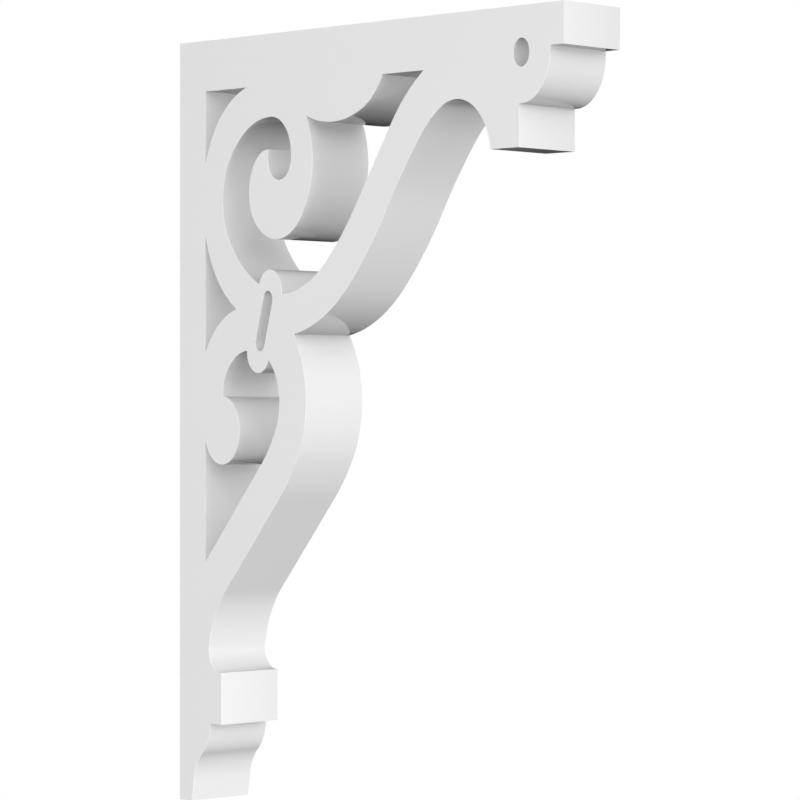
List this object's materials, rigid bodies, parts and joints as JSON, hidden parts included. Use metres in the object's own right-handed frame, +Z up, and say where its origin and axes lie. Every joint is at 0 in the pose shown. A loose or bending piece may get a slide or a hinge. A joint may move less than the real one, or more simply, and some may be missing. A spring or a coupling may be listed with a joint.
{
  "type": "open scroll bracket",
  "caption": "Open scroll bracket cut from one thick white PVC board, with back and top rails, a volute, a slotted bead and a curved strut, made to fix to a wall under a beam or soffit.",
  "frame": {"origin": "middle of the flat back edge, which is fixed to the wall", "axes": "+Y into the wall, so the bracket stands out along -Y; +Z up; +X through the thickness"},
  "size_m": [0.076, 0.51, 0.75],
  "materials": {
    "white_pvc": "smooth satin white with cleanly routed edges"
  },
  "bodies": {
    "root": {"bracket": "white_pvc"}
  },
  "joints": []
}
